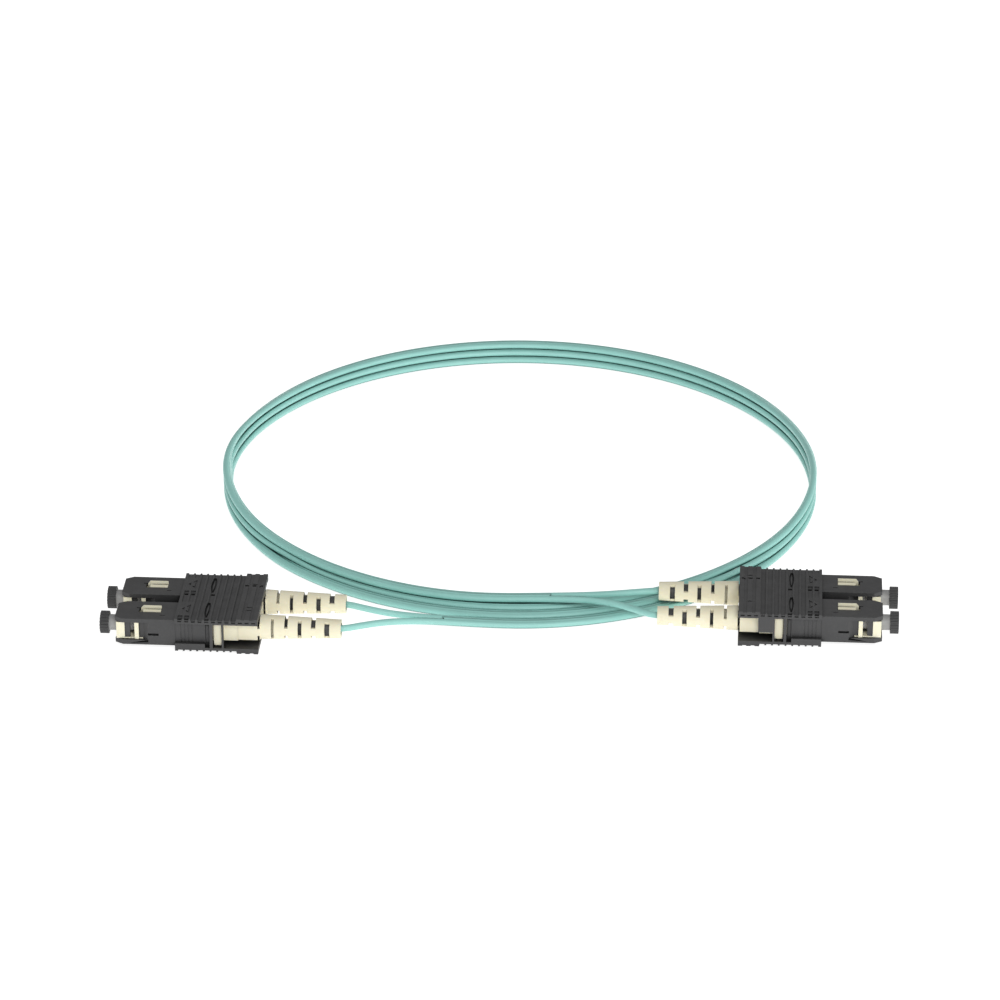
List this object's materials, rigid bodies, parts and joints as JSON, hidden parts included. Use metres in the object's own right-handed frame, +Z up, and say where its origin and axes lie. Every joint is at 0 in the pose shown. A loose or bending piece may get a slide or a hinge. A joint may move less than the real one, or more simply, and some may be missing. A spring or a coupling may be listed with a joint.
{
  "type": "fiber optic patch cord",
  "caption": "Duplex SC to SC fiber patch cord: aqua flat cord in a round coil, black clipped connectors with ivory boots and dust caps.",
  "frame": {"origin": "on the floor, midway between the two connector ends", "axes": "+X along the right end's noses, +Y from the connectors towards the coil, +Z up"},
  "size_m": [0.19, 0.1741, 0.0092],
  "materials": {
    "cord_jacket": "smooth aqua cable jacket",
    "black_plastic": "fine moulded black plastic",
    "ivory_plastic": "moulded ivory plastic",
    "boot_rubber": "soft ivory boot",
    "ferrule_ceramic": "polished zirconia",
    "nickel": "nickel plated",
    "spring_steel": "drawn wire",
    "cap_grey": "soft grey sleeve",
    "cap_black": "knurled black plastic"
  },
  "bodies": {
    "cord": {"coil": "cord_jacket", "left_lead": "cord_jacket", "right_lead": "cord_jacket", "left_a_leg": "cord_jacket", "left_a_plug_frame": "ivory_plastic", "left_a_spring": "spring_steel", "left_a_stop_body": "ivory_plastic", "left_a_crimp_sleeve": "black_plastic", "left_a_boot": "boot_rubber", "left_b_leg": "cord_jacket", "left_b_plug_frame": "ivory_plastic", "left_b_spring": "spring_steel", "left_b_stop_body": "ivory_plastic", "left_b_crimp_sleeve": "black_plastic", "left_b_boot": "boot_rubber", "right_a_leg": "cord_jacket", "right_a_plug_frame": "ivory_plastic", "right_a_spring": "spring_steel", "right_a_stop_body": "ivory_plastic", "right_a_crimp_sleeve": "black_plastic", "right_a_boot": "boot_rubber", "right_b_leg": "cord_jacket", "right_b_plug_frame": "ivory_plastic", "right_b_spring": "spring_steel", "right_b_stop_body": "ivory_plastic", "right_b_crimp_sleeve": "black_plastic", "right_b_boot": "boot_rubber"},
    "left_grip": {"left_clip_top": "black_plastic", "left_clip_tray": "black_plastic", "left_a_housing": "black_plastic", "left_b_housing": "black_plastic"},
    "left_a_ferrule": {"left_a_ferrule": "ferrule_ceramic", "left_a_ferrule_flange": "nickel"},
    "left_a_cap": {"left_a_cap_sleeve": "cap_grey", "left_a_cap_knob": "cap_black"},
    "left_b_ferrule": {"left_b_ferrule": "ferrule_ceramic", "left_b_ferrule_flange": "nickel"},
    "left_b_cap": {"left_b_cap_sleeve": "cap_grey", "left_b_cap_knob": "cap_black"},
    "right_grip": {"right_clip_top": "black_plastic", "right_clip_tray": "black_plastic", "right_a_housing": "black_plastic", "right_b_housing": "black_plastic"},
    "right_a_ferrule": {"right_a_ferrule": "ferrule_ceramic", "right_a_ferrule_flange": "nickel"},
    "right_a_cap": {"right_a_cap_sleeve": "cap_grey", "right_a_cap_knob": "cap_black"},
    "right_b_ferrule": {"right_b_ferrule": "ferrule_ceramic", "right_b_ferrule_flange": "nickel"},
    "right_b_cap": {"right_b_cap_sleeve": "cap_grey", "right_b_cap_knob": "cap_black"}
  },
  "joints": [
    {"name": "left_grip_pull", "type": "slide", "parent": "cord", "child": "left_grip", "axis": [1, 0, 0], "range_m": [0, 0.001]},
    {"name": "left_a_ferrule_push", "type": "slide", "parent": "cord", "child": "left_a_ferrule", "axis": [1, 0, 0], "range_m": [0, 0.001], "stiffness_N_per_m": 800, "deforming": ["left_a_spring"]},
    {"name": "left_a_cap_off", "type": "slide", "parent": "left_a_ferrule", "child": "left_a_cap", "axis": [-1, 0, 0], "range_m": [0, 0.008]},
    {"name": "left_b_ferrule_push", "type": "slide", "parent": "cord", "child": "left_b_ferrule", "axis": [1, 0, 0], "range_m": [0, 0.001], "stiffness_N_per_m": 800, "deforming": ["left_b_spring"]},
    {"name": "left_b_cap_off", "type": "slide", "parent": "left_b_ferrule", "child": "left_b_cap", "axis": [-1, 0, 0], "range_m": [0, 0.008]},
    {"name": "right_grip_pull", "type": "slide", "parent": "cord", "child": "right_grip", "axis": [-1, 0, 0], "range_m": [0, 0.001]},
    {"name": "right_a_ferrule_push", "type": "slide", "parent": "cord", "child": "right_a_ferrule", "axis": [-1, 0, 0], "range_m": [0, 0.001], "stiffness_N_per_m": 800, "deforming": ["right_a_spring"]},
    {"name": "right_a_cap_off", "type": "slide", "parent": "right_a_ferrule", "child": "right_a_cap", "axis": [1, 0, 0], "range_m": [0, 0.008]},
    {"name": "right_b_ferrule_push", "type": "slide", "parent": "cord", "child": "right_b_ferrule", "axis": [-1, 0, 0], "range_m": [0, 0.001], "stiffness_N_per_m": 800, "deforming": ["right_b_spring"]},
    {"name": "right_b_cap_off", "type": "slide", "parent": "right_b_ferrule", "child": "right_b_cap", "axis": [1, 0, 0], "range_m": [0, 0.008]}
  ]
}
